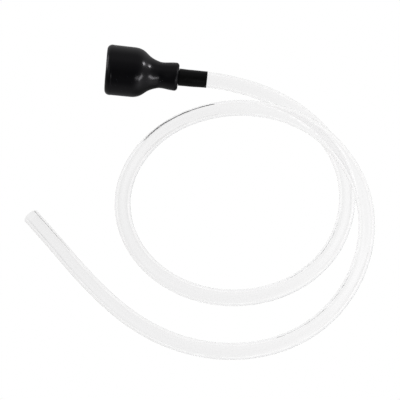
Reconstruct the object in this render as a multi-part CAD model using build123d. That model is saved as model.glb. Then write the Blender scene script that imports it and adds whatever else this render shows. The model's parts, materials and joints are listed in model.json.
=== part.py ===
from build123d import *
import math
import os

# Gravel vacuum siphon lying on a table, in millimetres: a bell-shaped head and a coiled hose.
# +Z is up and z = 0 is the table. +X runs along the head from the mouth towards the hose.
# The origin is the middle of the whole object's footprint.
# Head pieces are drawn in a local frame: u runs along the head's axis from a datum just
# ahead of the rim towards the hose, and r is the radius from that axis.

# --- how the head lies ---
TILT = 4.0  # degrees, neck lower than mouth
DATUM_AT = (-110.97, 141.39, 28.01)  # where u = 0 stands on the axis
HEAD = Pos(*DATUM_AT) * Rot(0, TILT, 0)  # local frame to the object's frame

# --- fits ---
FIT = 0.05  # radial clearance of a turning or drop-in fit
PRESS = 0.03  # radial overlap of a pressed-in fit
SLEEVE_GAP = 0.01  # radial gap between sleeve and hose

# --- bell ---
BELL_R = 26.4
BARREL_IN_R = 23.6
BELL_WALL = BELL_R - BARREL_IN_R
RIM_FACE = 0.4  # u of the rim's flat
RIM_ROUND = 4.6
RIM_FLAT = 0.8  # width of the flat on the rim
RIM_BAND_END = 6.2  # up to here the rim stands a little proud of the barrel
BAND_STEP = 0.15
BAND_SLOPE = 0.6  # length over which the band steps down
LIP_ROUND = 0.8
NECK_END = 75.8
NECK_END_ROUND = 3.4
NECK_BORE_R = 11.0
GUARD_R = 20.0  # pocket of the gravel guard
GUARD_STEP = 39.4
SEAT_STEP = 51.0
# outer ogee from the shoulder to the neck: (u, r)
OGEE = [
    (28.0, 26.08), (32.4, 25.58), (36.6, 24.20), (40.9, 21.36), (45.2, 18.02),
    (49.6, 15.62), (54.2, 14.16), (59.2, 13.66), (65.6, 14.22), (72.0, 14.73),
]
OGEE_TANGENTS = [(1, -0.008), (1, 0.03)]
# inner wall either side of the guard's pocket: (u, r)
INNER_SHOULDER = [(29.0, 23.46), (33.0, 22.70), (35.4, 21.50), (36.8, GUARD_R)]
INNER_CONE = [(GUARD_STEP, 18.2), (42.4, 16.0), (45.6, 13.1), (49.2, 9.6)]

# --- gravel guard ---
DOME_CENTRE = 77.7  # u of the centre of both dome faces
DOME_R = 44.3
DOME_WALL = 1.5
DOME_MID_R = 9.0  # point each dome arc is drawn through
DOME_OUT_EDGE = 18.4
DOME_IN_EDGE = 18.3
COLLAR_START = 36.9
COLLAR_LEAD = 0.5  # length of the collar's lead-in slope
COLLAR_START_R = GUARD_R - 0.4
SLOT_COUNT = 12
SLOT_WIDTH = 1.9
SLOT_IN_R, SLOT_OUT_R = 5.6, 16.8
SLOT_START, SLOT_END = 30.0, 39.3  # reach of the slot cutters

# --- valve in the neck ---
SEAT_END = SEAT_STEP + 3.0
SEAT_BORE_R = 4.8
SEAT_CHAMFER = (0.9, 1.2)  # along u, along r
BALL_R = 6.0
BALL_REST = 62.1  # u of the ball's centre against the cage's stop
CAGE_END = 70.0
CAGE_R = NECK_BORE_R - FIT
CAGE_WALL = 1.3
RIB_COUNT = 4
RIB_START = SEAT_END + 0.8
RIB_IN_R = 6.2
RIB_OUT_R = NECK_BORE_R - 1.0
RIB_WIDTH = 1.6
STOP_START = BALL_REST + BALL_R + 0.03
STOP_OVERLAP = 0.5  # how far the stop bars run into the ribs
HUB_R = 2.4

# --- hose connector and the ring that holds it ---
FLANGE_START, FLANGE_END = 70.1, 73.7
FLANGE_R = NECK_BORE_R - 0.06
SEAL_U = (FLANGE_START + FLANGE_END) / 2
SEAL_MAJOR_R, SEAL_MINOR_R = 10.2, 0.75
GROOVE_HALF = 0.95
GROOVE_R = 9.4
RING_START, RING_END = FLANGE_END + 0.2, NECK_END - 0.2
RING_LEAD = 0.4
RING_START_R = NECK_BORE_R - 0.3
SHAFT_R = 7.4
SHAFT_END = 76.5
CONNECTOR_BORE_R = 4.6
SPIGOT_R = 6.1
SPIGOT_END = 98.5
SPIGOT_TIP_R = SPIGOT_R - 0.5
BARB_R = 6.6
BARB_COUNT = 4
BARB_START = 80.0
BARB_PITCH = 4.6
BARB_LEN = 4.0

# --- hose and sleeve ---
HOSE_R = 8.0
HOSE_BORE_R = 6.0
HOSE_START = 76.7
SWELL_BORE_R = 6.36
SWELL_R = SWELL_BORE_R + HOSE_R - HOSE_BORE_R
SWELL_END = 96.0  # where the outside starts to narrow
SWELL_BORE_END = 98.6
BORE_TAPER_MID = 101.0
HOSE_NORMAL = 104.0  # from here the hose has its normal size
SLEEVE_END = 105.8
FREE_STRAIGHT = 26.0  # straight length at the free end
# sleeve's end edges, as three points of an arc, and its outside between them: (u, r)
SLEEVE_START_EDGE = [
    (HOSE_START, 8.62), (HOSE_START + 0.12, 8.87), (HOSE_START + 0.4, 8.97),
]
SLEEVE_END_EDGE = [
    (SLEEVE_END - 0.3, 8.60), (SLEEVE_END - 0.09, 8.51), (SLEEVE_END, 8.30),
]
SLEEVE_OUTSIDE = [(80.0, 8.95), (84.0, 8.86), (92.0, 8.84), (96.5, 8.73), (101.0, 8.64)]
SLEEVE_TANGENTS = [(1, 0.0), (1, -0.005)]

# Hose centreline after the sleeve, in the object's frame, ending at the free end.
# It coils clockwise seen from above and climbs over its own first turn.
# Each row is a point (x, y, z), then the centreline's direction there (x, y, z).
# Each stretch between rows is two tangent bends.
HOSE_PATH = [
    (56.435, 134.198, 12.948, 0.949417, -0.272081, -0.156775),
    (109.897, 103.197, 8.000, 0.707301, -0.706912, 0.000000),
    (132.110, 74.082, 8.000, 0.492744, -0.870174, 0.000000),
    (147.141, 22.812, 8.000, 0.056435, -0.998406, 0.000000),
    (138.950, -30.076, 8.000, -0.360427, -0.932787, 0.000000),
    (108.318, -73.804, 8.000, -0.750462, -0.660914, 0.000000),
    (61.073, -98.721, 8.000, -0.967952, -0.251137, 0.000000),
    (7.644, -100.389, 8.000, -0.980429, 0.196874, 0.000000),
    (-40.666, -77.687, 8.000, -0.774271, 0.632854, 0.000000),
    (-72.395, -34.794, 8.000, -0.376186, 0.926544, 0.000000),
    (-78.978, 18.080, 8.000, 0.142379, 0.989812, 0.000000),
    (-58.876, 67.577, 8.000, 0.576025, 0.817432, 0.000000),
    (-35.692, 91.867, 8.000, 0.793898, 0.608050, 0.000000),
    (4.826, 110.546, 11.437, 0.964610, 0.195504, 0.176937),
    (49.566, 110.234, 20.934, 0.970743, -0.162473, 0.176809),
    (92.711, 97.845, 24.370, 0.914571, -0.404426, 0.000106),
    (143.268, 53.818, 24.370, 0.558348, -0.829607, -0.000096),
    (162.597, 13.373, 20.933, 0.278097, -0.944103, -0.177008),
    (167.094, -31.130, 11.436, -0.086991, -0.980402, -0.176763),
    (156.126, -74.601, 8.000, -0.380495, -0.924783, 0.000000),
    (123.157, -123.688, 8.000, -0.725041, -0.688705, 0.000000),
    (77.576, -151.750, 8.000, -0.940651, -0.339374, 0.000000),
    (24.583, -159.610, 8.000, -0.999266, 0.038309, 0.000000),
    (-27.839, -148.263, 8.000, -0.927012, 0.375031, 0.000000),
    (-74.208, -121.103, 8.000, -0.789715, 0.613474, 0.000000),
    (-114.281, -85.087, 8.000, -0.707214, 0.707000, 0.000000),
    (-151.618, -46.203, 8.000, -0.702542, 0.711642, 0.000000),
]


def turn(*edges):
    """Revolve a closed outline drawn in (u, r) about the head's axis."""
    return revolve(make_face(Wire(list(edges))), axis=Axis.X)


def lines(*points):
    """Straight edges from each point to the next."""
    return [Line(a, b) for a, b in zip(points, points[1:])]


def turn_polygon(*points):
    return turn(*lines(*points, points[0]))


def tube(start, end, out_r, in_r=0.0):
    return turn_polygon((start, in_r), (end, in_r), (end, out_r), (start, out_r))


def corner(start, end, centre):
    """Quarter round from start to end about a centre."""
    mid_u = (start[0] + end[0]) / 2 - centre[0]
    mid_r = (start[1] + end[1]) / 2 - centre[1]
    scale = math.dist(start, centre) / math.hypot(mid_u, mid_r)
    return ThreePointArc(start, (centre[0] + mid_u * scale, centre[1] + mid_r * scale), end)


def spoke(start, end, in_r, out_r, width, angle):
    """A flat bar standing out from the axis, turned about it by an angle."""
    bar = Box(end - start, out_r - in_r, width)
    return Rot(angle, 0, 0) * (Pos((start + end) / 2, (in_r + out_r) / 2, 0) * bar)


def make_bell():
    """One shell: turned-in rim, barrel, ogee shoulder and bored, waisted neck."""
    rim_r = BELL_R - RIM_ROUND
    rim_u = RIM_FACE + RIM_ROUND
    rim_centre = (rim_u, rim_r)
    band_foot = (RIM_BAND_END + BAND_SLOPE, BELL_R - BAND_STEP)
    neck_r = OGEE[-1][1]
    neck_u = NECK_END - NECK_END_ROUND
    neck_face_r = neck_r - NECK_END_ROUND
    cone_end_r = INNER_CONE[-1][1]
    lip_r = rim_r - RIM_FLAT
    lip_edge_r = lip_r - LIP_ROUND
    lip_back = RIM_FACE + BELL_WALL
    lip_back_centre = (lip_back - LIP_ROUND, lip_r)
    lip_front_centre = (RIM_FACE + LIP_ROUND, lip_r)
    return turn(
        # outside, from the rim to the neck's end
        Line((RIM_FACE, lip_r), (RIM_FACE, rim_r)),
        corner((RIM_FACE, rim_r), (rim_u, BELL_R), rim_centre),
        *lines((rim_u, BELL_R), (RIM_BAND_END, BELL_R), band_foot, OGEE[0]),
        Spline(*OGEE, tangents=OGEE_TANGENTS),
        Line(OGEE[-1], (neck_u, neck_r)),
        corner((neck_u, neck_r), (NECK_END, neck_face_r), (neck_u, neck_face_r)),
        # inside, back from the neck's bore to the barrel
        *lines(
            (NECK_END, neck_face_r),
            (NECK_END, NECK_BORE_R),
            (SEAT_STEP, NECK_BORE_R),
            (SEAT_STEP, cone_end_r),
            INNER_CONE[-1],
        ),
        Spline(*INNER_CONE[::-1]),
        *lines(INNER_CONE[0], (GUARD_STEP, GUARD_R), INNER_SHOULDER[-1]),
        Spline(*INNER_SHOULDER[::-1]),
        Line(INNER_SHOULDER[0], (rim_u, BARREL_IN_R)),
        # turned-in lip
        corner((rim_u, BARREL_IN_R), (lip_back, rim_r), rim_centre),
        Line((lip_back, rim_r), (lip_back, lip_r)),
        corner((lip_back, lip_r), (lip_back - LIP_ROUND, lip_edge_r), lip_back_centre),
        Line((lip_back - LIP_ROUND, lip_edge_r), (RIM_FACE + LIP_ROUND, lip_edge_r)),
        corner((RIM_FACE + LIP_ROUND, lip_edge_r), (RIM_FACE, lip_r), lip_front_centre),
    )


def make_guard():
    """Slotted strainer, domed towards the mouth, with a collar pressed in its pocket."""

    def dome_point(r, dome_r):
        return (DOME_CENTRE - math.sqrt(dome_r**2 - r**2), r)

    front = [dome_point(r, DOME_R) for r in (0, DOME_MID_R, DOME_OUT_EDGE)]
    back = [dome_point(r, DOME_R - DOME_WALL) for r in (DOME_IN_EDGE, DOME_MID_R, 0)]
    guard = turn(
        ThreePointArc(*front),
        *lines(
            front[-1],
            (COLLAR_START, DOME_OUT_EDGE),
            (COLLAR_START, COLLAR_START_R),
            (COLLAR_START + COLLAR_LEAD, GUARD_R + PRESS),
            (GUARD_STEP, GUARD_R + PRESS),
            (GUARD_STEP, DOME_IN_EDGE),
            back[0],
        ),
        ThreePointArc(*back),
        Line(back[-1], front[0]),
    )
    for i in range(SLOT_COUNT):
        angle = i * 360 / SLOT_COUNT
        guard -= spoke(SLOT_START, SLOT_END, SLOT_IN_R, SLOT_OUT_R, SLOT_WIDTH, angle)
    return guard


def make_seat():
    """Valve seat ring against the step in the neck."""
    chamfer_u, chamfer_r = SEAT_CHAMFER
    return turn_polygon(
        (SEAT_STEP, SEAT_BORE_R + chamfer_r),
        (SEAT_STEP, NECK_BORE_R - FIT),
        (SEAT_END, NECK_BORE_R - FIT),
        (SEAT_END, SEAT_BORE_R),
        (SEAT_END - chamfer_u, SEAT_BORE_R),
    )


def make_cage():
    """Tube with guide ribs for the ball, crossed at its hose end as the ball's stop."""
    cage = tube(SEAT_END, CAGE_END, CAGE_R, CAGE_R - CAGE_WALL)
    for i in range(RIB_COUNT):
        angle = i * 360 / RIB_COUNT
        cage += spoke(RIB_START, CAGE_END, RIB_IN_R, RIB_OUT_R, RIB_WIDTH, angle)
        cage += spoke(STOP_START, CAGE_END, 0, RIB_IN_R + STOP_OVERLAP, RIB_WIDTH, angle)
    cage += tube(STOP_START, CAGE_END, HUB_R)
    return cage


def make_neck_ring():
    """Ring pressed in the neck's end; it holds the flange and lets it turn."""
    return turn_polygon(
        (RING_START, SHAFT_R + FIT),
        (RING_START, RING_START_R),
        (RING_START + RING_LEAD, NECK_BORE_R + PRESS),
        (RING_END, NECK_BORE_R + PRESS),
        (RING_END, SHAFT_R + FIT),
    )


def make_connector():
    """Flange with a seal groove, plain shaft and barbed spigot."""
    profile = [
        (FLANGE_START, CONNECTOR_BORE_R),
        (FLANGE_START, FLANGE_R),
        (SEAL_U - GROOVE_HALF, FLANGE_R),
        (SEAL_U - GROOVE_HALF, GROOVE_R),
        (SEAL_U + GROOVE_HALF, GROOVE_R),
        (SEAL_U + GROOVE_HALF, FLANGE_R),
        (FLANGE_END, FLANGE_R),
        (FLANGE_END, SHAFT_R),
        (SHAFT_END, SHAFT_R),
        (SHAFT_END, SPIGOT_R),
    ]
    for i in range(BARB_COUNT):
        barb = BARB_START + i * BARB_PITCH
        profile += [(barb, SPIGOT_R), (barb, BARB_R)]
        if i < BARB_COUNT - 1:  # the last barb tapers to the spigot's tip
            profile.append((barb + BARB_LEN, SPIGOT_R))
    profile += [(SPIGOT_END, SPIGOT_TIP_R), (SPIGOT_END, CONNECTOR_BORE_R)]
    return turn_polygon(*profile)


def swell_taper(gap=0.0):
    """Points where the hose's outside narrows to its normal size, raised by a gap."""
    return [
        (SWELL_END, SWELL_R + gap),
        ((SWELL_END + HOSE_NORMAL) / 2, (HOSE_R + SWELL_R) / 2 + gap),
        (HOSE_NORMAL, HOSE_R + gap),
    ]


def make_sleeve():
    """Thin tube over the joint, following the swollen hose."""
    taper = swell_taper(SLEEVE_GAP)[::-1]
    bore_start = (HOSE_START, SWELL_R + SLEEVE_GAP)
    return turn(
        Line(bore_start, SLEEVE_START_EDGE[0]),
        ThreePointArc(*SLEEVE_START_EDGE),
        Spline(
            SLEEVE_START_EDGE[-1],
            *SLEEVE_OUTSIDE,
            SLEEVE_END_EDGE[0],
            tangents=SLEEVE_TANGENTS,
        ),
        ThreePointArc(*SLEEVE_END_EDGE),
        *lines(SLEEVE_END_EDGE[-1], (SLEEVE_END, HOSE_R + SLEEVE_GAP), taper[0]),
        Spline(*taper, tangents=[(-1, 0), (-1, 0)]),
        Line(taper[-1], bore_start),
    )


def make_hose_head():
    """Hose under the sleeve, swollen over the spigot."""
    taper = swell_taper()
    bore_taper = [
        (HOSE_NORMAL, HOSE_BORE_R),
        (BORE_TAPER_MID, (HOSE_BORE_R + SWELL_BORE_R) / 2),
        (SWELL_BORE_END, SWELL_BORE_R),
    ]
    return turn(
        *lines((HOSE_START, SWELL_BORE_R), (HOSE_START, SWELL_R), taper[0]),
        Spline(*taper, tangents=[(1, 0), (1, 0)]),
        *lines(taper[-1], (SLEEVE_END, HOSE_R), (SLEEVE_END, HOSE_BORE_R), bore_taper[0]),
        Spline(*bore_taper, tangents=[(-1, 0), (-1, 0)]),
        Line(bore_taper[-1], (HOSE_START, SWELL_BORE_R)),
    )


def hose_section(point, direction):
    """Annular face across the hose's centreline."""
    plane = Plane(origin=point, z_dir=direction)
    return (plane * (Circle(HOSE_R) - Circle(HOSE_BORE_R))).face()


def bend(point, direction, end):
    """One length of hose bent to a single radius, and its direction at the far end."""
    chord = end - point
    forward = chord.dot(direction)
    side = chord - direction * forward
    radius = chord.length**2 / (2 * side.length)
    angle = 2 * math.atan2(side.length, forward)
    centre = point + side.normalized() * radius
    piece = revolve(
        hose_section(point, direction),
        axis=Axis(centre, direction.cross(side)),
        revolution_arc=math.degrees(angle),
    )
    far_direction = direction * math.cos(angle) + side.normalized() * math.sin(angle)
    return piece, far_direction.normalized()


def bends_meet(start, start_way, end, end_way):
    """Point where two tangent bends meet, one leaving start and one reaching end."""
    chord = end - start
    along = chord.dot(start_way + end_way)
    spread = 1 - start_way.dot(end_way)
    reach = (-along + math.sqrt(along**2 + 2 * spread * chord.dot(chord))) / (2 * spread)
    return (start + end + (start_way - end_way) * reach) * 0.5


def make_hose():
    """Whole hose in the object's frame: swollen head, bends and straight free end."""
    tilt = math.radians(TILT)
    here = (HEAD * Pos(SLEEVE_END, 0, 0)).position
    ahead = Vector(math.cos(tilt), 0, -math.sin(tilt))
    lengths = []
    for row in HOSE_PATH:
        knot = Vector(*row[:3])
        way = Vector(*row[3:]).normalized()
        meet = bends_meet(here, ahead, knot, way)
        first, middle = bend(here, ahead, meet)
        second, _ = bend(meet, middle, knot)
        lengths += [first, second]
        here, ahead = knot, way
    lengths.append(extrude(hose_section(here, ahead), FREE_STRAIGHT))
    return (HEAD * make_hose_head()) + lengths


seal = Pos(SEAL_U, 0, 0) * (Rot(0, 90, 0) * Torus(SEAL_MAJOR_R, SEAL_MINOR_R))

parts = {
    "suction_bell": HEAD * make_bell(),
    "gravel_guard": HEAD * make_guard(),
    "valve_seat": HEAD * make_seat(),
    "check_ball": HEAD * (Pos(BALL_REST, 0, 0) * Sphere(BALL_R)),
    "valve_cage": HEAD * make_cage(),
    "neck_ring": HEAD * make_neck_ring(),
    "hose_connector": HEAD * make_connector(),
    "connector_o_ring": HEAD * seal,
    "hose_sleeve": HEAD * make_sleeve(),
    "clear_hose": make_hose(),
}

os.makedirs("parts", exist_ok=True)
for name, shape in parts.items():
    export_step(shape, os.path.join("parts", name + ".step"))
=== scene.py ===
"""A gravel cleaner for an aquarium: a black suction bell with a grey slotted guard, joined by a
soft sleeve to a clear hose that lies coiled on the table.

The table top is at z = 0 and the camera looks down from the -Y side, with +X on its right.
The bell and sleeve are turned about the head's axis: u runs along it from a datum just ahead
of the rim towards the hose, and r is the radius from it. Outlines are in millimetres.
"""
import json
import math

import bmesh
import bpy
import numpy as np
from mathutils import Matrix, Vector

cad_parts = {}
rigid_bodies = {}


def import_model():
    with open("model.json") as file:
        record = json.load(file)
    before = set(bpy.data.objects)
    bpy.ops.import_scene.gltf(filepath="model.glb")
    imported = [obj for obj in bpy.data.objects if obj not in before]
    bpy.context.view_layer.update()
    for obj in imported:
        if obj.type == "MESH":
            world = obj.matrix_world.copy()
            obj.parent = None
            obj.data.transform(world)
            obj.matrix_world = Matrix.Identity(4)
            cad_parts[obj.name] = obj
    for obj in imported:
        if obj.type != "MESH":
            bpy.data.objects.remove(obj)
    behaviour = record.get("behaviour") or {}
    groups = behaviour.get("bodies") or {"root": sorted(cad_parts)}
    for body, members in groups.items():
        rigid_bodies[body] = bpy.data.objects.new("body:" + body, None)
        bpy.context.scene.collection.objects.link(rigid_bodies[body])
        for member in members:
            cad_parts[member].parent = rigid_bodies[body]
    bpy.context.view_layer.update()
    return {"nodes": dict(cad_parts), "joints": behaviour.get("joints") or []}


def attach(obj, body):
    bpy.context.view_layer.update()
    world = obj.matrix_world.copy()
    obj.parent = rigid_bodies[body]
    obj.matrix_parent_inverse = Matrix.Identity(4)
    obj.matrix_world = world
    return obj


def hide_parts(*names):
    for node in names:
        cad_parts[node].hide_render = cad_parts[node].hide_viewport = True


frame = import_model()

scene = bpy.context.scene
MM = 0.001


def unit(vectors):
    """A vector, or each row of an array, scaled to length one."""
    vectors = np.array(vectors, float)
    return vectors / np.linalg.norm(vectors, axis=-1, keepdims=True)


# ----------------------------- driving sizes, mm ---------------------------
SWIVEL_U = 71.9
swivel = next(j for j in frame["joints"] if j["name"] == "bell_swivel")
AX = unit(swivel["axis"])
AY = np.array([0.0, 1.0, 0.0])
AZ = np.cross(AX, AY)
MOUTH = np.array(swivel["pos_m"], float) - AX * SWIVEL_U * MM

RIM_U, RIM_R = 5.6, 21.8  # centre of the bell's rolled rim
RIM_LENGTH, RIM_HEIGHT = 5.2, 4.6  # half axes of its section
SEAT_U, SEAT_R = 39.4, 20.0  # corner of the bell's inside where the guard sits
NECK_END_U = 75.8
NECK_BORE_R = 11.0

HOSE_U = 76.7  # the hose's first end
SLEEVE_U = 76.0
JOINT_END_U = 105.8  # the sleeve ends and the hose begins to bend
HOSE_R, HOSE_BORE_R = 8.0, 6.0
SWELL = 0.36  # how far the joint stretches the hose's radii
FREE_STRAIGHT = 26.0  # straight run at the free end


# ----------------------------- outlines ------------------------------------
def smoothstep(x, low, high):
    t = np.clip((x - low) / (high - low), 0, 1)
    return t * t * (3 - 2 * t)


def run_along(points):
    """Length along a line of points, at each of them."""
    return np.concatenate([[0], np.cumsum(np.linalg.norm(np.diff(points, axis=0), axis=1))])


def spline(points, start=None, end=None, step=0.7):
    """Smooth curve through points, with the directions at its ends if they are given."""
    knots = np.array(points, float)
    count = len(knots)
    gap = np.linalg.norm(np.diff(knots, axis=0), axis=1)
    chord = np.diff(knots, axis=0) / gap[:, None]
    matrix = np.zeros((count, count))
    target = np.zeros((count, 2))
    for row, neighbour, end_chord, way in ((0, 1, chord[0], start), (-1, -2, chord[-1], end)):
        if way is None:
            matrix[row, row], matrix[row, neighbour] = 2, 1
            target[row] = 3 * end_chord
        else:
            matrix[row, row] = 1
            target[row] = unit(way)
    for i in range(1, count - 1):
        before, after = gap[i - 1], gap[i]
        matrix[i, i - 1 : i + 2] = after, 2 * (before + after), before
        target[i] = 3 * (after * chord[i - 1] + before * chord[i])
    slope = np.linalg.solve(matrix, target)
    out = []
    for i in range(count - 1):
        pieces = max(2, int(math.ceil(gap[i] / step)))
        for j in range(pieces):
            t = j / pieces
            out.append(
                (2 * t**3 - 3 * t**2 + 1) * knots[i]
                + (t**3 - 2 * t**2 + t) * gap[i] * slope[i]
                + (-2 * t**3 + 3 * t**2) * knots[i + 1]
                + (t**3 - t**2) * gap[i] * slope[i + 1]
            )
    out.append(knots[-1])
    return [(float(x), float(y), 0.0) for x, y in out]


def around(first, last, centre, steps):
    """Round from first to last about a centre, the short way, both ends included."""
    cx, cy = centre
    begin = math.atan2(first[1] - cy, first[0] - cx)
    finish = math.atan2(last[1] - cy, last[0] - cx)
    turn = (finish - begin + math.pi) % (2 * math.pi) - math.pi
    radius = math.hypot(first[0] - cx, first[1] - cy)
    angles = [begin + turn * i / steps for i in range(steps + 1)]
    return [(cx + radius * math.cos(a), cy + radius * math.sin(a), 0.0) for a in angles]


def soften(outline, steps=4):
    """Rounds corners that carry a radius, (u, r, radius), and drops repeated points."""
    def same(one, other):
        return math.hypot(one[0] - other[0], one[1] - other[1])

    clean = []
    for point in outline:
        if not clean or same(point, clean[-1]) > 1e-4:
            clean.append(point)
        elif point[2] > clean[-1][2]:
            clean[-1] = point
    if same(clean[0], clean[-1]) < 1e-4:
        clean.pop()
    out = []
    for i, (u, r, radius) in enumerate(clean):
        corner = np.array([u, r])
        if radius <= 0:
            out.append(corner)
            continue
        back = np.array(clean[i - 1][:2]) - corner
        ahead = np.array(clean[(i + 1) % len(clean)][:2]) - corner
        back_length, ahead_length = np.linalg.norm(back), np.linalg.norm(ahead)
        back, ahead = back / back_length, ahead / ahead_length
        half = math.acos(max(-1, min(1, float(back @ ahead)))) / 2
        cut = min(radius / math.tan(half), back_length * 0.48, ahead_length * 0.48)
        radius = cut * math.tan(half)
        centre = corner + unit(back + ahead) * (radius / math.sin(half))
        arc = around(corner + back * cut, corner + ahead * cut, centre, steps)
        out += [np.array(point[:2]) for point in arc]
    return np.array(out)


def split_long(outline, limit=3.0):
    """Adds points along long straight runs, so that shading and wear follow the surface."""
    out = []
    for i, here in enumerate(outline):
        way = outline[(i + 1) % len(outline)] - here
        pieces = max(1, int(math.ceil(np.linalg.norm(way) / limit)))
        out += [here + way * j / pieces for j in range(pieces)]
    return np.array(out)


# ----------------------------- meshes --------------------------------------
def place(u, r, angle):
    """Position in metres of a point about the head's axis."""
    side = AY * math.cos(angle) + AZ * math.sin(angle)
    return MOUTH + (AX * u + side * r) * MM


def make_object(name, mesh):
    ob = bpy.data.objects.new(name, mesh)
    scene.collection.objects.link(ob)
    return ob


def make_mesh(name, co, faces, flow=None, sharp=38.0):
    """A shown piece from vertices in metres.

    flow is each vertex's (cos, sin, length in metres) about and along its piece."""
    mesh = bpy.data.meshes.new(name)
    mesh.from_pydata([tuple(map(float, c)) for c in co], [], [tuple(f) for f in faces])
    if flow is not None:
        attribute = mesh.attributes.new("flow", "FLOAT_VECTOR", "POINT")
        attribute.data.foreach_set("vector", np.asarray(flow, np.float32).ravel())
    bm = bmesh.new()
    bm.from_mesh(mesh)
    bmesh.ops.recalc_face_normals(bm, faces=bm.faces)
    bm.to_mesh(mesh)
    bm.free()
    smooth(mesh, sharp)
    mesh.validate()
    mesh.update()
    return make_object(name, mesh)


def smooth(mesh, sharp):
    mesh.polygons.foreach_set("use_smooth", [True] * len(mesh.polygons))
    mesh.set_sharp_from_angle(angle=math.radians(sharp))


def lathe(name, outline, count):
    """Turns a closed outline about the head's axis."""
    points = split_long(soften(outline))
    run = run_along(points)
    co, flow = [], []
    for k in range(count):
        angle = 2 * math.pi * k / count
        for (u, r), length in zip(points, run):
            co.append(place(u, r, angle))
            flow.append((math.cos(angle), math.sin(angle), length * MM))
    faces = []
    size = len(points)
    for k in range(count):
        a, b = k * size, ((k + 1) % count) * size
        for i in range(size):
            j = (i + 1) % size
            faces.append((a + i, a + j, b + j, b + i))
    return make_mesh(name, co, faces, flow)


def shift_vertices(ob, shift):
    """Moves each vertex by shift(its offset from the datum, its u), in millimetres."""
    for v in ob.data.vertices:
        offset = np.array(v.co) - MOUTH
        v.co = Vector(np.array(v.co) + shift(offset, float(offset @ AX) / MM) * MM)
    ob.data.update()


def register(ob, body, node):
    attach(ob, body)
    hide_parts(node)


# --- suction bell: rolled rim, slightly proud band, ogee shoulder, waisted neck ---
RIM_ARC = [
    (
        RIM_U - RIM_LENGTH * math.cos(math.radians(a)),
        RIM_R + RIM_HEIGHT * math.sin(math.radians(a)),
        0.0,
    )
    for a in range(0, 91, 6)
]
# (u, r) along the outside, from the band to the end of the neck
OGEE = [
    (28.0, 26.08), (32.4, 25.58), (36.6, 24.20), (40.9, 21.36), (45.2, 18.03), (49.6, 15.78),
    (52.6, 14.68), (55.6, 13.80), (58.8, 13.58), (65.6, 14.22), (72.0, 14.73),
]
# (u, r, corner radius), closed: outside to the neck's end, then the inside back to the mouth
BELL_OUTLINE = (
    [(0.4, 21.0, 0.0)]
    + RIM_ARC
    + [(6.2, 26.4, 0.22), (6.8, 26.25, 0.35)]
    + spline(OGEE, (1, -0.008), (1, 0.03))
    + around((72.4, 14.73), (NECK_END_U, 11.33), (72.4, 11.33), 12)
    + [(NECK_END_U, NECK_BORE_R, 0.15), (51.0, NECK_BORE_R, 0.0), (51.0, 9.6, 0.2)]
    + spline([(49.2, 9.6), (45.6, 13.1), (42.4, 16.0), (SEAT_U, 18.2)])
    + [(SEAT_U, SEAT_R, 0.0)]
    + spline([(36.8, SEAT_R), (35.4, 21.5), (33.0, 22.7), (29.0, 23.46)])
    + around((5.0, 23.6), (3.2, 21.8), (5.0, 21.8), 8)
    + around((3.2, 21.0), (2.4, 20.2), (2.4, 21.0), 5)
    + around((1.2, 20.2), (0.4, 21.0), (1.2, 21.0), 5)
)
LONG_SIDE = AY * 0.874 + AZ * 0.486  # the side on which the mouth reaches furthest


def neck_trim():
    """Where the duller stretch round the neck's end begins and ends, as flow length in metres."""
    points = split_long(soften(BELL_OUTLINE))
    end_face = run_along(points)[int(np.argmax(points[:, 0]))] * MM
    return end_face - 0.0055, end_face + 0.002


def mouth_skew(offset, u):
    """The moulded mouth is a little out of square: longer on one side, fading out by u = 18."""
    radial = float(np.linalg.norm(offset - AX * (offset @ AX)))
    facing = max(0.0, float(offset @ LONG_SIDE) / max(1e-9, radial))
    return -AX * (0.1 + 1.05 * facing**1.2) * smoothstep(18.0 - u, 0.0, 12.0)


bell = lathe("suction_bell_shell", BELL_OUTLINE, 256)
shift_vertices(bell, mouth_skew)
register(bell, "bell_body", "suction_bell")


# --- soft sleeve over the joint between hose and connector ---
def bow(length):
    """How far the coil pulls the hose off the head's axis, in mm, at a length from its start."""
    return 0.46 * smoothstep(length, 8.0, 30.0) * (1 - smoothstep(length, 46.0, 66.0))


# (u, r) along the outside
SLEEVE_OUTSIDE = [
    (77.4, 8.97), (80.0, 8.95), (84.0, 8.86), (92.0, 8.84), (96.5, 8.73), (101.0, 8.64),
    (105.5, 8.60),
]
# (u, r, corner radius), closed: outside first, then the inside back
SLEEVE_OUTLINE = (
    [(SLEEVE_U, 8.37, 0.0), (SLEEVE_U, 8.97, 0.3)]
    + spline(SLEEVE_OUTSIDE, (1, 0), (1, -0.005), 0.8)
    + [(JOINT_END_U, 8.60, 0.22), (JOINT_END_U, 8.01, 0.0), (104.0, 8.01, 0.0)]
    + spline([(104.0, 8.01), (100.0, 8.19), (96.0, 8.37)], (-1, 0), (-1, 0))
)
sleeve = lathe("joint_sleeve", SLEEVE_OUTLINE, 192)
shift_vertices(sleeve, lambda offset, u: AY * float(bow(u - HOSE_U)))
register(sleeve, "hose_body", "hose_sleeve")

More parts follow.
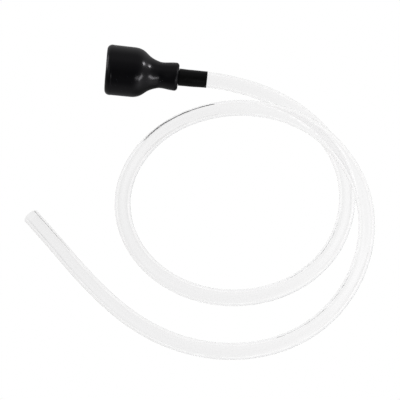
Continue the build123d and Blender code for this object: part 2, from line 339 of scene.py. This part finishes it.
# --- gravel guard: domed strainer with rounded slots and a pressed rim ---
DOME_R, DOME_U, SHELL = 44.3, 77.7, 1.5  # radius towards the mouth, centre, thickness
SLOTS, SLOT_HALF, SLOT_IN, SLOT_OUT = 12, 0.95, 5.6, 16.8
DOME_EDGE_R = 18.4
CAP_IN, CAP_OUT = SLOT_IN + SLOT_HALF, SLOT_OUT - SLOT_HALF  # centres of the slots' round ends
FAN = math.pi / SLOTS  # half the angle from slot to slot
SHARE = [0.0, 0.14, 0.36, 0.66, 1.0]  # mesh lines, from a slot's edge to midway between slots
GUARD_RADII = (
    [1.6, 3.2, 4.6, SLOT_IN]
    + [CAP_IN - SLOT_HALF * math.cos(math.radians(a)) for a in (25, 50, 70, 90)]
    + list(np.linspace(CAP_IN, CAP_OUT, 9)[1:])
    + [CAP_OUT + SLOT_HALF * math.sin(math.radians(a)) for a in (20, 40, 65, 90)]
    + [17.6, DOME_EDGE_R]
)
MOUTH_SIDE, HOSE_SIDE, RIM = 0, 1, 2  # the guard's two dome faces and its rim


def slot_half_width(r):
    if r <= SLOT_IN + 1e-6 or r >= SLOT_OUT - 1e-6:
        return 0.0
    past_cap = max(CAP_IN - r, r - CAP_OUT, 0.0)
    return math.sqrt(max(0.0, SLOT_HALF**2 - past_cap**2))


def dome_rows(radius):
    """(u, r, angle from a slot's middle) over half a slot pitch, a row for each radius."""
    rows = []
    for r in GUARD_RADII:
        u = DOME_U - math.sqrt(radius**2 - r**2)
        edge = math.asin(min(1.0, slot_half_width(r) / r))
        rows.append([(u, r, edge + (FAN - edge) * s) for s in SHARE])
    return rows


def guard_mesh():
    co, index, faces = [], {}, []
    halves = [(k * 2 * FAN, mirror) for k in range(SLOTS) for mirror in (1, -1)]

    def vertex(layer, u, r, angle):
        angle %= 2 * math.pi
        across, up = round(r * math.cos(angle), 3), round(r * math.sin(angle), 3)
        key = (layer, round(u, 3), across, up)
        if key not in index:
            index[key] = len(co)
            co.append(place(u, r, angle))
        return index[key]

    def on_half(layer, point, half):
        u, r, angle = point
        middle, mirror = half
        return vertex(layer, u, r, middle + mirror * angle)

    def add_face(ids):
        """Adds a face without its repeated corners, unless it has closed up."""
        distinct = [v for n, v in enumerate(ids) if v not in ids[:n]]
        if len(distinct) > 2:
            faces.append(distinct)

    front, back = dome_rows(DOME_R), dome_rows(DOME_R - SHELL)
    columns = range(len(SHARE) - 1)
    steps = range(len(GUARD_RADII) - 1)
    for layer, radius, rows in ((MOUTH_SIDE, DOME_R, front), (HOSE_SIDE, DOME_R - SHELL, back)):
        for half in halves:
            for i in steps:
                for j in columns:
                    corners = ((i, j), (i + 1, j), (i + 1, j + 1), (i, j + 1))
                    add_face([on_half(layer, rows[a][b], half) for a, b in corners])
        hub = vertex(layer, DOME_U - radius, 0.0, 0.0)
        for half in halves:
            for j in columns:
                pair = [on_half(layer, point, half) for point in rows[0][j : j + 2]]
                faces.append([hub] + pair)

    # slot walls
    for half in halves:
        for i in steps:
            if max(slot_half_width(GUARD_RADII[i]), slot_half_width(GUARD_RADII[i + 1])) > 0:
                add_face([
                    on_half(MOUTH_SIDE, front[i][0], half),
                    on_half(MOUTH_SIDE, front[i + 1][0], half),
                    on_half(HOSE_SIDE, back[i + 1][0], half),
                    on_half(HOSE_SIDE, back[i][0], half),
                ])

    # pressed rim (u, r, corner radius), on the same mesh lines
    rim = soften([
        (front[-1][0][0], DOME_EDGE_R, 0.0), (36.9, DOME_EDGE_R, 0.15), (36.9, 19.6, 0.15),
        (37.4, SEAT_R, 0.2), (SEAT_U, SEAT_R, 0.2), (SEAT_U, DOME_EDGE_R, 0.15),
        (back[-1][0][0], DOME_EDGE_R, 0.0),
    ], 3)
    layers = [MOUTH_SIDE] + [RIM] * (len(rim) - 2) + [HOSE_SIDE]
    angles = sorted({
        round((middle + mirror * FAN * s) % (2 * math.pi), 9)
        for middle, mirror in halves for s in SHARE
    })
    for a, b in zip(angles, angles[1:] + angles[:1]):
        for i in range(len(rim) - 1):
            corners = ((i, a), (i + 1, a), (i + 1, b), (i, b))
            faces.append([vertex(layers[n], *rim[n], angle) for n, angle in corners])
    return co, faces


guard = make_mesh("gravel_strainer", *guard_mesh(), sharp=50.0)
register(guard, "bell_body", "gravel_guard")

# --- clear hose: swollen over the spigot, coiled on the table, over itself, free end last ---
# position (x, y, z) in mm and heading (x, y, z) at each knot after the joint
HOSE_KNOTS = [
    (56.435, 134.198, 12.948, 0.949417, -0.272081, -0.156775),
    (109.897, 103.197, 8.000, 0.707301, -0.706912, 0.000000),
    (132.110, 74.082, 8.000, 0.492744, -0.870174, 0.000000),
    (147.141, 22.812, 8.000, 0.056435, -0.998406, 0.000000),
    (138.950, -30.076, 8.000, -0.360427, -0.932787, 0.000000),
    (108.318, -73.804, 8.000, -0.750462, -0.660914, 0.000000),
    (61.073, -98.721, 8.000, -0.967952, -0.251137, 0.000000),
    (7.644, -100.389, 8.000, -0.980429, 0.196874, 0.000000),
    (-40.666, -77.687, 8.000, -0.774271, 0.632854, 0.000000),
    (-72.395, -34.794, 8.000, -0.376186, 0.926544, 0.000000),
    (-78.978, 18.080, 8.000, 0.142379, 0.989812, 0.000000),
    (-58.876, 67.577, 8.000, 0.576025, 0.817432, 0.000000),
    (-35.692, 91.867, 8.000, 0.793898, 0.608050, 0.000000),
    (4.826, 110.546, 11.437, 0.964610, 0.195504, 0.176937),
    (49.566, 110.234, 20.934, 0.970743, -0.162473, 0.176809),
    (92.711, 97.845, 24.370, 0.914571, -0.404426, 0.000106),
    (143.268, 53.818, 24.370, 0.558348, -0.829607, -0.000096),
    (162.597, 13.373, 20.933, 0.278097, -0.944103, -0.177008),
    (167.094, -31.130, 11.436, -0.086991, -0.980402, -0.176763),
    (156.126, -74.601, 8.000, -0.380495, -0.924783, 0.000000),
    (123.157, -123.688, 8.000, -0.725041, -0.688705, 0.000000),
    (77.576, -151.750, 8.000, -0.940651, -0.339374, 0.000000),
    (24.583, -159.610, 8.000, -0.999266, 0.038309, 0.000000),
    (-27.839, -148.263, 8.000, -0.927012, 0.375031, 0.000000),
    (-74.208, -121.103, 8.000, -0.789715, 0.613474, 0.000000),
    (-114.281, -85.087, 8.000, -0.707214, 0.707000, 0.000000),
    (-151.618, -46.203, 8.000, -0.702542, 0.711642, 0.000000),
]
# how the bore wanders along the hose: (amount, length per radian, phase)
BORE_WAVES = [(0.030, 37.0, 0.0), (0.022, 17.3, 1.1), (0.012, 7.9, 0.4)]
LIP = 0.28  # rounding of the free end's edges


def bend_points(start, heading, end):
    """Points 1 mm apart along the single bend from start to end, and the heading there."""
    way = end - start
    ahead = way @ heading
    side = way - heading * ahead
    off = np.linalg.norm(side)
    if off < 1e-6:
        count = max(1, int(np.linalg.norm(way)))
        return [start + way * i / count for i in range(count)], heading
    radius = (way @ way) / (2 * off)
    angle = 2 * math.atan2(off, ahead)
    side = side / off
    count = max(1, int(round(radius * angle)))
    turns = [angle * i / count for i in range(count)]
    points = [
        start + heading * radius * math.sin(t) + side * radius * (1 - math.cos(t)) for t in turns
    ]
    return points, heading * math.cos(angle) + side * math.sin(angle)


def resample(at, known, points):
    return np.array([np.interp(at, known, points[:, i]) for i in range(3)]).T


def hose_line():
    """The centreline to the free end, 1 mm apart, with bends eased into one another."""
    datum = MOUTH * 1000
    points = [datum + AX * u for u in np.arange(HOSE_U, JOINT_END_U, 1.0)]
    here, ahead = datum + AX * JOINT_END_U, AX
    for knot in HOSE_KNOTS:
        goal, goal_way = np.array(knot[:3]), unit(knot[3:])
        # two bends that share a heading where they meet
        way, both, apart = goal - here, ahead + goal_way, 1 - ahead @ goal_way
        along = way @ both
        reach = (-along + math.sqrt(along * along + 2 * apart * (way @ way))) / (2 * apart)
        meet = (here + goal + (ahead - goal_way) * reach) * 0.5
        first, middle_way = bend_points(here, ahead, meet)
        second, _ = bend_points(meet, unit(middle_way), goal)
        points += first + second
        here, ahead = goal, goal_way
    points += [here + ahead * t for t in np.arange(0, FREE_STRAIGHT + 0.01, 1.0)]
    line = np.array(points)
    run = run_along(line)
    even = np.linspace(0, run[-1], int(round(run[-1])) + 1)
    line = resample(even, run, line)
    # ease with a bell-shaped average, both ends carried on straight
    reach, sigma = 24, 7.0
    weights = np.exp(-0.5 * (np.arange(-reach, reach + 1) / sigma) ** 2)
    weights /= weights.sum()
    head = [line[0] - (line[1] - line[0]) * k for k in range(reach, 0, -1)]
    tail = [line[-1] + (line[-1] - line[-2]) * k for k in range(1, reach + 1)]
    full = np.array(head + list(line) + tail)
    eased = np.array([np.convolve(full[:, i], weights, "valid") for i in range(3)]).T
    share = smoothstep(even, 30.0, 42.0)[:, None]  # the joint itself stays straight
    return line * (1 - share) + eased * share + AY * bow(even)[:, None], even


def turning_frames(tangents):
    """Pairs of cross directions that turn with the hose but don't twist."""
    normal = AZ
    frames = []
    for tangent in tangents:
        normal = unit(normal - tangent * (normal @ tangent))
        frames.append((normal, np.cross(tangent, normal)))
    return frames


def hose_mesh(centre, length, step=2.0, sides=72):
    total = length[-1]
    stations = [0.0, 0.2, 0.6] + list(np.arange(2.0, total - 1.2, step))
    stations = np.array(stations + [total - 0.9, total - 0.45])
    middles = resample(stations, length, centre)
    tangents = unit(resample(stations, length, np.gradient(centre, axis=0)))
    # start from the frame square to the first tangent
    frames = turning_frames(tangents)
    along = stations + HOSE_U
    wander = sum(size * np.sin(stations / wave + phase) for size, wave, phase in BORE_WAVES)
    wander = wander * smoothstep(along, 108.0, 120.0)
    inner = HOSE_BORE_R + SWELL - SWELL * smoothstep(along, 98.6, 104.0) + wander
    outer = HOSE_R + SWELL - SWELL * smoothstep(along, 96.0, 104.0)
    outer = outer + 0.4 * wander * smoothstep(total - stations, 2.0, 12.0)
    angles = 2 * math.pi * np.arange(sides) / sides
    co, flow = [], []

    def add_ring(i, r, shift=0.0):
        across, up = frames[i]
        middle = middles[i] + tangents[i] * shift
        for t in angles:
            cos, sin = math.cos(t), math.sin(t)
            co.append((middle + (across * cos + up * sin) * r) * MM)
            flow.append((cos * r / outer[i], sin * r / outer[i], (stations[i] + shift) * MM))

    # outside, rounded free end, then back down the bore
    count = len(stations)
    end = count - 1
    overhang = total - stations[-1]
    lip = [
        (LIP * (1 - math.cos(a)), overhang - LIP + LIP * math.sin(a))
        for a in map(math.radians, (0, 30, 60, 90))
    ]
    for i in range(count):
        add_ring(i, outer[i])
    for inset, shift in lip:
        add_ring(end, outer[-1] - inset, shift)
    add_ring(end, (outer[-1] + inner[-1]) / 2, overhang)
    for inset, shift in reversed(lip):
        add_ring(end, inner[-1] + inset, shift)
    for i in range(end, -1, -1):
        add_ring(i, inner[i])
    faces = []
    for a in range(0, len(co), sides):
        b = (a + sides) % len(co)
        for k in range(sides):
            after = (k + 1) % sides
            faces.append((a + k, a + after, b + after, b + k))
    return co, faces, flow


centre, length = hose_line()
hose_co, hose_faces, hose_flow = hose_mesh(centre, length)
hose = make_mesh("hose_tube", hose_co, hose_faces, hose_flow, 60.0)
register(hose, "hose_body", "clear_hose")
hose.visible_glossy = False
# how squarely each stretch lies to the light: its long reflections, painted into the hose's colour
# as highlight streaks, show most there
gleam = hose.data.attributes.new("gleam", "FLOAT", "POINT")
square = np.abs(unit(np.gradient(centre, axis=0)) @ np.array([0.24, 0.97, 0.0])) ** 7
along_hose = np.array(hose_flow)[:, 2] / MM
gleam.data.foreach_set("value", np.interp(along_hose, length, square).astype(np.float32))


# ----------------------------- materials -----------------------------------
class Graph:
    """Short way to build a node tree: each call adds a node, sets or links its inputs, and
    returns the node, or one of its outputs. Inputs go by name, or as i0, i1 by number."""

    def __init__(self, tree):
        self.tree = tree
        tree.nodes.clear()

    def __call__(self, kind, out=None, props=None, **inputs):
        node = self.tree.nodes.new(kind)
        for key, value in (props or {}).items():
            setattr(node, key, value)
        for key, value in inputs.items():
            numbered = key[0] == "i" and key[1:].isdigit()
            socket = node.inputs[int(key[1:]) if numbered else key.replace("_", " ")]
            if isinstance(value, bpy.types.NodeSocket):
                self.tree.links.new(value, socket)
            else:
                socket.default_value = value
        return node.outputs[out] if out is not None else node

    def noise(self, vector, scale, detail, rough):
        return self("ShaderNodeTexNoise", 0,
                    Vector=vector, Scale=scale, Detail=detail, Roughness=rough)

    def remap(self, value, span, to=(0.0, 1.0)):
        return self("ShaderNodeMapRange", 0, i0=value, i1=span[0], i2=span[1], i3=to[0], i4=to[1])

    def maths(self, op, a, b=0.5, clamp=False):
        return self("ShaderNodeMath", 0, {"operation": op, "use_clamp": clamp}, i0=a, i1=b)

    def plus(self, a, b):
        return self.maths("ADD", a, b)

    def minus(self, a, b):
        return self.maths("SUBTRACT", a, b)

    def times(self, a, b):
        return self.maths("MULTIPLY", a, b)

    def dot(self, a, b):
        return self("ShaderNodeVectorMath", "Value", {"operation": "DOT_PRODUCT"}, i0=a, i1=b)

    def blend(self, fac, a, b):
        return self("ShaderNodeMix", 2, {"data_type": "RGBA"}, i0=fac, i6=a, i7=b)

    def choose(self, fac, a, b):
        return self("ShaderNodeMix", 0, {"data_type": "FLOAT"}, i0=fac, i2=a, i3=b)

    def scaled(self, vector, scale):
        return self("ShaderNodeMapping", 0, Vector=vector, Scale=scale)

    def attribute(self, name, out="Vector"):
        return self("ShaderNodeAttribute", out, {"attribute_name": name})

    def geometry(self, out):
        return self("ShaderNodeNewGeometry", out)

    def split(self, vector):
        return self("ShaderNodeSeparateXYZ", Vector=vector).outputs

    def bump(self, distance, height):
        return self("ShaderNodeBump", "Normal", Strength=1.0, Distance=distance, Height=height)

    def layered(self, *layers):
        """Sum of three (height, weight) layers."""
        first, second, third = [self.times(height, weight) for height, weight in layers]
        return self.plus(first, self.plus(second, third))

    def ramp(self, fac, stops, colour=lambda v: (v, v, v, 1)):
        """Colour ramp from (position, value) stops."""
        out = self("ShaderNodeValToRGB", "Color", Fac=fac)
        elements = out.node.color_ramp.elements
        for k, (position, value) in enumerate(stops):
            element = elements[k] if k < 2 else elements.new(position)
            element.position = position
            element.color = colour(value)
        return out


def new_material(name):
    material = bpy.data.materials.new(name)
    material.use_nodes = True
    return material, Graph(material.node_tree)


def grey(value, blue=0.0):
    return (value, value, value + blue, 1.0)


def moulded(name, tones, gloss, grain, level=0.5, wear=0.0, flow_lines=0.0, sub=0.0, blue=0.0,
            trimmed=None, tint=(1.0, 1.0, 1.0, 1.0)):
    """Moulded plastic: slow colour and gloss changes, fine surface grain, edges rubbed a little.

    tones: dark and light. gloss: roughness and its spread. grain: depth in metres and scale.
    level and tint: specular. trimmed: flow lengths between which the surface is duller."""
    dark, light = tones
    rough, spread = gloss
    depth, grain_scale = grain
    material, g = new_material(name)
    at = g("ShaderNodeTexCoord", "Object")
    slow = g.noise(at, scale=55.0, detail=3.0, rough=0.55)
    cloudy = g.noise(at, scale=240.0, detail=4.0, rough=0.6)
    colour = g.blend(g.remap(slow, span=(0.3, 0.7)), grey(dark, blue), grey(light, blue))
    edges = g.remap(g.geometry("Pointiness"), span=(0.515, 0.58))
    patchy = g.noise(at, scale=900.0, detail=4.0, rough=0.7)
    worn = g.times(edges, g.remap(patchy, span=(0.42, 0.62)))
    if wear:
        colour = g.blend(g.times(worn, wear), colour, grey(light * 5 + 0.02, blue))
    roughness = g.remap(cloudy, span=(0.25, 0.75), to=(rough - spread, rough + spread))
    worn_roughness = 0.12
    roughness = g.plus(roughness, g.times(worn, worn_roughness))
    if trimmed:
        begin, end = trimmed
        fade = 0.0012  # metres
        run = g.split(g.attribute("flow"))["Z"]
        begins = g.remap(run, span=(begin, begin + fade), to=(0.0, 0.20))
        ends = g.remap(run, span=(end, end + fade), to=(1.0, 0.0))
        duller = g.times(begins, ends)
        roughness = g.plus(roughness, duller)
        specular_loss = 0.9
        level = g.minus(level, g.times(duller, specular_loss))
    height = g.noise(at, scale=grain_scale, detail=2.0, rough=0.55)
    if flow_lines:
        run = g.scaled(g.attribute("flow"), scale=(26.0, 26.0, 18.0))
        lines = g.noise(run, scale=6.0, detail=3.0, rough=0.6)
        height = g.plus(height, g.times(lines, flow_lines))
    shader = g("ShaderNodeBsdfPrincipled", 0, Base_Color=colour, Roughness=roughness,
               Normal=g.bump(depth, height), Specular_IOR_Level=level, Specular_Tint=tint,
               Coat_Roughness=0.12)
    if sub:
        inputs = shader.node.inputs
        inputs["Subsurface Weight"].default_value = sub
        inputs["Subsurface Radius"].default_value = (1.0, 0.95, 0.85)
        inputs["Subsurface Scale"].default_value = 0.002
    g("ShaderNodeOutputMaterial", Surface=shader)
    return material


def sleeve_material():
    """Soft black sleeve: satin, with faint lines along it and a slow mottle."""
    material, g = new_material("black_sleeve")
    at = g("ShaderNodeTexCoord", "Object")
    run = g.scaled(g.attribute("flow"), scale=(1.0, 1.0, 14.0))
    lines = g.noise(run, scale=34.0, detail=3.0, rough=0.65)
    mottle = g.noise(at, scale=420.0, detail=4.0, rough=0.6)
    fine = g.noise(at, scale=5200.0, detail=2.0, rough=0.6)
    height = g.layered((lines, 1.0), (mottle, 0.8), (fine, 0.25))
    dark, light = grey(0.0005, blue=0.0001), grey(0.0014, blue=0.0002)
    colour = g.blend(g.remap(mottle, span=(0.3, 0.7)), dark, light)
    slow = g.noise(at, scale=160.0, detail=3.0, rough=0.5)
    shader = g("ShaderNodeBsdfPrincipled", 0, Base_Color=colour,
               Roughness=g.remap(slow, span=(0.3, 0.7), to=(0.30, 0.40)),
               Normal=g.bump(distance=0.000028, height=height), Specular_IOR_Level=0.34)
    g("ShaderNodeOutputMaterial", Surface=shader)
    return material


HOSE_LIFT = 1.0  # strength of the extra sheen on the hose's outside
HOSE_IOR = 1.5
# tone of the wall, by how far from the tube's middle the line of sight passes
HOSE_WALL = [
    (0.0, 0.868), (0.5, 0.866), (0.60, 0.842), (0.70, 0.796), (0.80, 0.798), (0.87, 0.852),
    (0.93, 0.93), (1.0, 0.97),
]


def hose_material():
    """Clear flexible tube: refracting, with faint drawn lines, a slight haze, a tinted wall and
    painted highlight streaks on it.
    """
    material, g = new_material("clear_hose")
    run = g.attribute("flow")
    lines = g.noise(g.scaled(run, scale=(1.0, 1.0, 2.2)), scale=7.0, detail=3.0, rough=0.55)
    fine = g.noise(g.scaled(run, scale=(1.0, 1.0, 3.0)), scale=34.0, detail=2.0, rough=0.5)
    pulse = g.noise(g.scaled(run, scale=(0.35, 0.35, 30.0)), scale=1.6, detail=2.0, rough=0.5)
    bump = g.bump(distance=0.00011, height=g.layered((lines, 1.0), (fine, 0.10), (pulse, 0.4)))
    haze = g.noise(g.scaled(run, scale=(1.0, 1.0, 9.0)), scale=5.0, detail=3.0, rough=0.6)
    gloss = g.remap(haze, span=(0.3, 0.7), to=(0.015, 0.05))
    # on the outside only, clean in the bore: nearly all of the tone, painted highlight streaks
    # included, is in the outer skin
    deep = g.split(run)
    squares = [g.maths("POWER", deep[axis], 2.0) for axis in ("X", "Y")]
    skin = g.remap(g.maths("SQRT", g.plus(*squares)), span=(0.80, 0.95))
    # how far from the tube's middle the line of sight passes: 0 in the middle, 1 on the outline
    turn = g("ShaderNodeNewGeometry").outputs
    facing = g.dot(turn["Normal"], turn["Incoming"])
    aside = g.maths("MAXIMUM", g.minus(1.0, g.times(facing, facing)), 0.0)
    aside = g.maths("SQRT", aside)
    aside = g.times(aside, g.remap(turn["Backfacing"], span=(0.0, 1.0), to=(1.0, 1.5)))
    wall = g.ramp(aside, HOSE_WALL, colour=lambda v: (v * 1.0036, v, v + 0.002, 1))
    # two soft painted highlight streaks along the wall, standing in for reflections of the lights,
    # a little uneven
    near = g.remap(aside, span=(0.28, 0.43))
    beyond = g.remap(aside, span=(0.43, 0.58), to=(1.0, 0.0))
    painted_streak = g.times(g.times(near, beyond), g.attribute("gleam", "Fac"))
    painted_streak = g.times(painted_streak, g.remap(pulse, span=(0.3, 0.7), to=(0.030, 0.064)))
    wall = g("ShaderNodeVectorMath", 0, {"operation": "ADD"}, i0=wall, i1=painted_streak)
    glass = g("ShaderNodeBsdfPrincipled", 0, Base_Color=g.blend(skin, grey(0.99), wall),
              Roughness=gloss, Normal=bump, IOR=HOSE_IOR, Transmission_Weight=1.0)
    # the tube's face reflects the pale room round it more than the dark head does
    fresnel = g("ShaderNodeFresnel", 0, IOR=HOSE_IOR, Normal=bump)
    outside = g.minus(1.0, g.geometry("Backfacing"))
    lift = g.times(g.times(fresnel, outside), HOSE_LIFT)
    tone = g("ShaderNodeCombineColor", 0, Red=lift, Green=lift, Blue=lift)
    sheen = g("ShaderNodeBsdfGlossy", 0, Color=tone, Roughness=gloss, Normal=bump)
    g("ShaderNodeOutputMaterial", Surface=g("ShaderNodeAddShader", 0, i0=glass, i1=sheen))
    return material


def dress(ob, material):
    ob.data.materials.clear()
    ob.data.materials.append(material)


black_bell = moulded(
    "black_bell", tones=(0.0014, 0.0024), gloss=(0.21, 0.03), grain=(4.5e-6, 2600.0), wear=0.10,
    flow_lines=0.35, blue=0.0012, trimmed=neck_trim(), tint=(0.97, 0.95, 1.0, 1.0))
black_plastic = moulded(
    "black_plastic", tones=(0.008, 0.013), gloss=(0.38, 0.05), grain=(6e-6, 3200.0), wear=0.08)
grey_guard = moulded(
    "grey_guard", tones=(0.075, 0.105), gloss=(0.46, 0.06), grain=(1e-5, 3000.0), level=0.45,
    wear=0.25)
ball_plastic = moulded(
    "ball_plastic", tones=(0.74, 0.84), gloss=(0.16, 0.04), grain=(2e-6, 1500.0), sub=0.2)
natural_plastic = moulded(
    "natural_plastic", tones=(0.62, 0.72), gloss=(0.36, 0.05), grain=(6e-6, 2200.0), level=0.45,
    sub=0.35)
soft_seal = moulded(
    "soft_seal", tones=(0.018, 0.030), gloss=(0.62, 0.06), grain=(9e-6, 4200.0), level=0.35,
    wear=0.1)

dress(bell, black_bell)
dress(sleeve, sleeve_material())
dress(guard, grey_guard)
dress(hose, hose_material())

# CAD nodes that stay: smooth shading across their turned faces, and their own plastics
CARRIED = {
    "valve_seat": soft_seal,
    "check_ball": ball_plastic,
    "valve_cage": natural_plastic,
    "neck_ring": black_plastic,
    "hose_connector": black_plastic,
    "connector_o_ring": soft_seal,
}
for name, material in CARRIED.items():
    node = frame["nodes"][name]
    dress(node, material)
    smooth(node.data, sharp=30)

# ----------------------------- stage ---------------------------------------
# soft patches of the room that only show as reflections:
# bearing from +Y towards +X, height (degrees), tightness, strength
PATCHES = [(112, 8, 8.0, 0.25), (142, -8, 16.0, 0.38), (-120, 42, 14.0, 0.34)]
# reflected brightness, (position, value): 0 on the near side's horizon, 1 on the far side's
TABLE_STOPS = [
    (0.0, 0.085), (0.05, 0.125), (0.13, 0.185), (0.25, 0.20), (0.5, 0.20), (0.8, 0.30),
    (1.0, 0.36),
]
ROOM_STOPS = [
    (0.0, 0.075), (0.11, 0.078), (0.22, 0.055), (0.31, 0.055), (0.37, 0.080), (0.42, 0.100),
    (0.48, 0.120), (0.53, 0.145), (0.56, 0.170), (0.61, 0.220), (0.78, 0.215), (0.84, 0.245),
    (0.88, 0.30), (0.94, 0.33), (1.0, 0.35),
]
WHITE = (1, 1, 1, 1)


def bearing(azimuth, elevation):
    """Unit direction from a bearing (from +Y towards +X) and a height, in degrees."""
    a, e = math.radians(azimuth), math.radians(elevation)
    return (math.sin(a) * math.cos(e), math.cos(a) * math.cos(e), math.sin(e))


def add_patches(g, base, way, sign=1.0):
    """Adds the patches to base. sign is -1 where way points back along the ray."""
    total = None
    for azimuth, elevation, tight, strength in PATCHES:
        toward = tuple(sign * c for c in bearing(azimuth, elevation))
        near = g.maths("MAXIMUM", g.dot(way, toward), 0.0)
        patch = g.times(g.maths("POWER", near, tight), strength)
        total = patch if total is None else g.plus(total, patch)
    return g.plus(base, total)


def sight(g):
    """Whether the ray is the camera's, and whether it comes straight or through the hose."""
    path = g("ShaderNodeLightPath").outputs
    camera = path["Is Camera Ray"]
    return camera, g.maths("ADD", camera, path["Transmission Depth"], clamp=True)


def table_material():
    material, g = new_material("table_top")
    camera_ray, seen = sight(g)
    # seen by reflection the table is duller, and duller still towards the viewer's side
    way = g.geometry("Incoming")
    xyz = g.split(way)
    steep = g.maths("ARCTAN2", xyz["Z"], xyz["Y"])
    near = g.ramp(g.maths("DIVIDE", steep, math.pi), TABLE_STOPS)
    # steeply down and to the right it is darker still, in the head's own shade
    down = g.remap(xyz["Z"], span=(0.60, 0.82), to=(0.0, 0.5))
    shade = g.times(down, g.remap(xyz["X"], span=(0.05, -0.20)))
    near = g.times(near, g.minus(1.0, shade))
    near = add_patches(g, near, way, sign=-1.0)
    # through the hose the table is brighter to the right
    spot = g.split(g.geometry("Position"))
    bright = g.remap(spot["X"], span=(-0.17, 0.17), to=(0.945, 1.045))
    bright = g.choose(camera_ray, bright, 1.0)
    glow = g("ShaderNodeEmission", 0, Color=WHITE, Strength=g.choose(seen, near, bright))
    clear = g("ShaderNodeBsdfTransparent", 0)
    under = g.geometry("Backfacing")
    mix = g("ShaderNodeMixShader", 0, i0=under, i1=glow, i2=clear)
    g("ShaderNodeOutputMaterial", Surface=mix)
    return material


def table_top(half=9.0, drop=0.0002):
    mesh = bpy.data.meshes.new("table_top")
    corners = [(-half, -half, 0), (half, -half, 0), (half, half, 0), (-half, half, 0)]
    mesh.from_pydata(corners, [], [(0, 1, 2, 3)])
    ob = make_object("table_top", mesh)
    ob.location.z = -drop
    dress(ob, table_material())
    return ob


def studio_world():
    """In reflection: a pale backdrop low on the far side, dim overhead, dark on the near side."""
    world = bpy.data.worlds.new("studio")
    scene.world = world
    world.use_nodes = True
    g = Graph(world.node_tree)
    _, seen = sight(g)
    way = g("ShaderNodeTexCoord", "Generated")
    xyz = g.split(way)
    height = g.maths("MAXIMUM", xyz["Z"], 0.0)
    swing = g.maths("ARCTAN2", height, g.times(xyz["Y"], -1.0))
    dome = g.ramp(g.maths("DIVIDE", swing, math.pi), ROOM_STOPS)
    dome = add_patches(g, dome, way)
    back = g("ShaderNodeBackground", 0, Color=WHITE, Strength=g.choose(seen, dome, 1.0))
    g("ShaderNodeOutputWorld", Surface=back)


table_top()
studio_world()

# the clear hose is lit by the table and the room alone
lit = bpy.data.collections.new("lit_by_softboxes")
for ob in bpy.data.objects:
    if ob.type == "MESH" and ob is not hose:
        lit.objects.link(ob)

LIGHT_TARGET = Vector((-0.055, 0.141, 0.028))
LIGHT_DISTANCE = 0.9
# name, bearing and height (degrees), width and height (m), radiance
SOFTBOXES = [
    ("softbox_right", 65, 22, 0.115, 0.115, 24.0),
    ("softbox_front_right", 127, 13.5, 0.46, 0.17, 5.1),
    ("softbox_front", 148.5, 24, 0.28, 0.20, 1.7),
    ("softbox_left", -77, 13, 0.55, 0.6, 1.55),
]
for name, azimuth, elevation, wide, high, radiance in SOFTBOXES:
    way = Vector(bearing(azimuth, elevation))
    light = bpy.data.lights.new(name, "AREA")
    light.shape = "RECTANGLE"
    light.size, light.size_y = wide, high
    light.energy = radiance * math.pi * wide * high
    ob = make_object(name, light)
    ob.location = LIGHT_TARGET + way * LIGHT_DISTANCE
    ob.rotation_mode = "QUATERNION"
    ob.rotation_quaternion = (-way).to_track_quat("-Z", "Y")
    ob.visible_camera = False
    ob.visible_transmission = False
    ob.light_linking.receiver_collection = lit

# ----------------------------- camera --------------------------------------
CAMERA_PLACE = (0.06268, -0.77912, 1.42563)
CAMERA_RIGHT = (0.99670851, 0.08106875, 0.0)
CAMERA_UP = (-0.07090432, 0.87174091, 0.48480962)
CAMERA_BACK = (0.03930291, -0.48321388, 0.87461971)

lens = bpy.data.cameras.new("camera")
lens.lens, lens.sensor_width = 144.0, 36.0
lens.clip_start, lens.clip_end = 0.05, 50.0
lens.shift_x, lens.shift_y = -0.001125, 0.001075
camera = make_object("camera", lens)
turned = Matrix((CAMERA_RIGHT, CAMERA_UP, CAMERA_BACK)).transposed().to_4x4()
camera.matrix_world = Matrix.Translation(CAMERA_PLACE) @ turned
scene.camera = camera
scene.view_settings.view_transform = "Standard"
scene.view_settings.look = "None"
scene.cycles.max_bounces = 24
scene.cycles.transmission_bounces = 20
scene.cycles.glossy_bounces = 12
scene.cycles.transparent_max_bounces = 16
